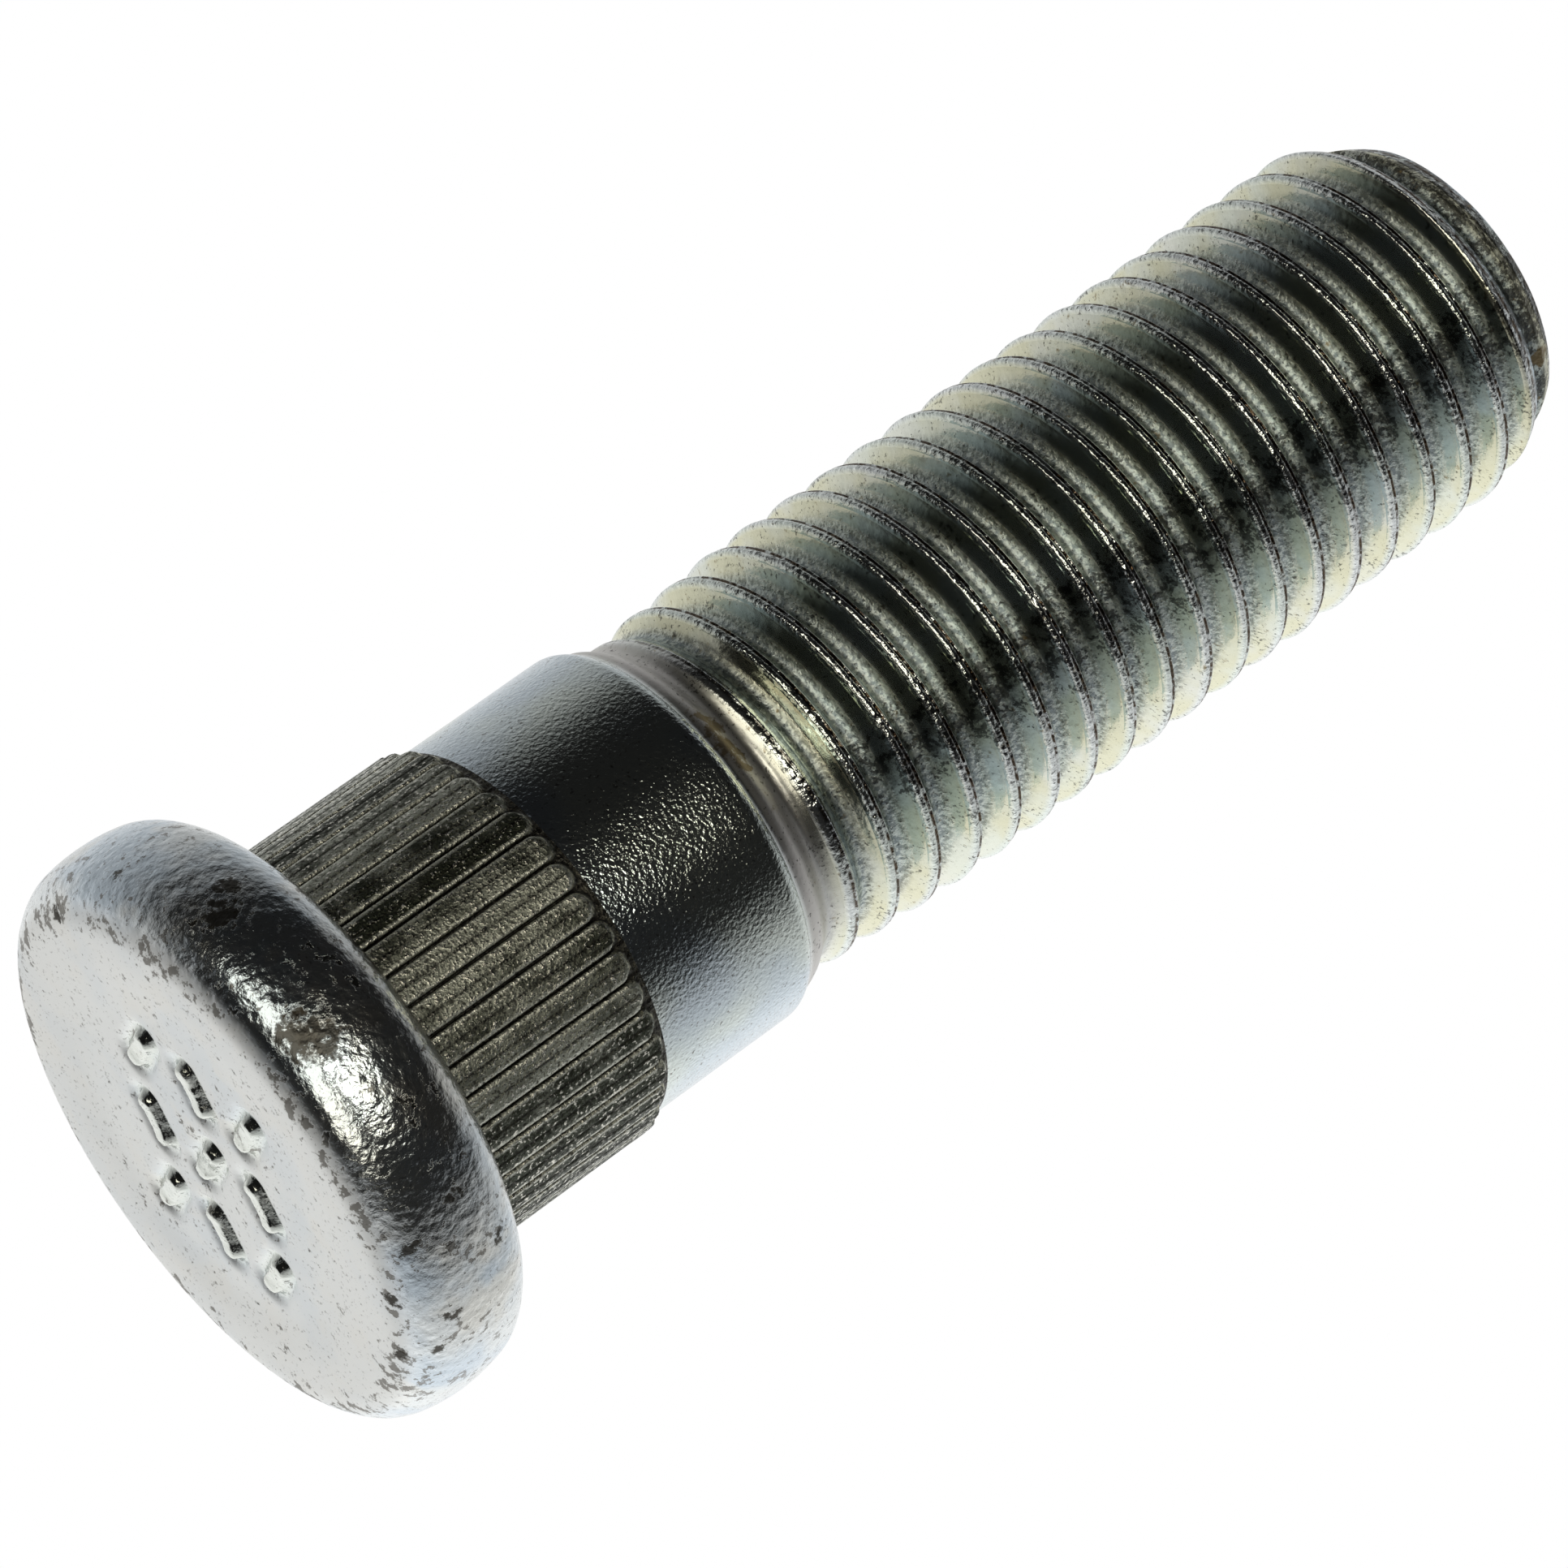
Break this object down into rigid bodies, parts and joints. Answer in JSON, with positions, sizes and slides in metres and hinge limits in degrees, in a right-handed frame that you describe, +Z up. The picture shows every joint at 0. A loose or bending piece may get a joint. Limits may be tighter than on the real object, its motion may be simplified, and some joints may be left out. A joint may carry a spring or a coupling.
{
  "type": "wheel stud",
  "caption": "Press-in wheel stud: round flat head with rounded rim, serrated shank, plain collar, short neck and right-hand thread with a tapered tip.",
  "frame": {"origin": "centre of the head's outer face, which the stud stands on", "axes": "+Z up the shank's axis to the threaded tip"},
  "size_m": [0.0182, 0.0182, 0.0475],
  "materials": {
    "zinc_steel": "zinc plated, clear chromate, satin head and collar with glossy thread"
  },
  "bodies": {
    "root": {"wheel_stud": "zinc_steel"}
  },
  "joints": []
}
